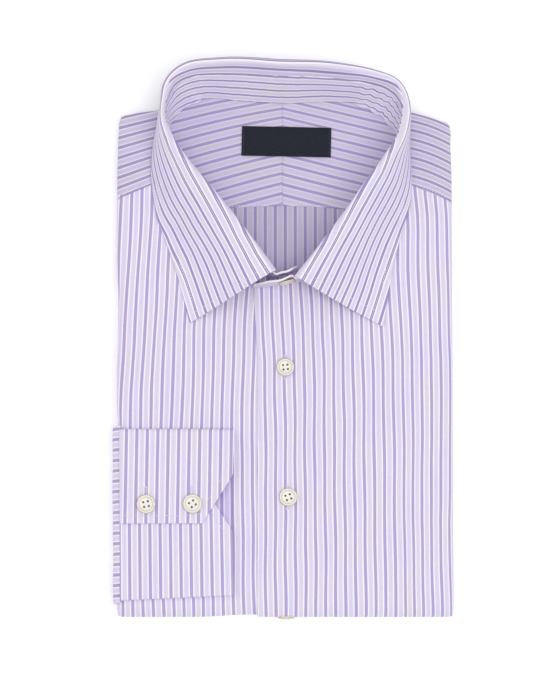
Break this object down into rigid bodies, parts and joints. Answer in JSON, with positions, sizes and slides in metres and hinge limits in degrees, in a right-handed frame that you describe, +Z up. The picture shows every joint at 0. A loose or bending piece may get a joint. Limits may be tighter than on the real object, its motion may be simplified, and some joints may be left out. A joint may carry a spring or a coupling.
{
  "type": "dress shirt",
  "caption": "Folded long sleeve dress shirt lying flat, buttoned, with a spread collar standing up and the cuff of one sleeve laid across the front.",
  "frame": {"origin": "bottom centre of the bounding box of the folded shirt", "axes": "+X towards the wearer's left, +Y from the hem fold to the collar, +Z up, away from the surface it lies on"},
  "size_m": [0.225, 0.3728, 0.0533],
  "materials": {
    "striped_cotton": "woven cotton with lilac and white stripes",
    "pearl_button": "polished pearl",
    "label_satin": "dark woven satin, blank"
  },
  "bodies": {
    "root": {"back_panel": "striped_cotton", "button_collar": "pearl_button", "button_cuff_arm": "pearl_button", "button_cuff_wrist": "pearl_button", "button_front_lower": "pearl_button", "button_front_upper": "pearl_button", "button_hem_fold": "pearl_button", "collar_leaf": "striped_cotton", "collar_stand": "striped_cotton", "cuff_right": "striped_cotton", "folded_layers": "striped_cotton", "front_left": "striped_cotton", "front_right": "striped_cotton", "inner_yoke_left": "striped_cotton", "inner_yoke_right": "striped_cotton", "neck_label": "label_satin", "outer_yoke_left": "striped_cotton", "outer_yoke_right": "striped_cotton", "sleeve_right": "striped_cotton"}
  },
  "joints": []
}
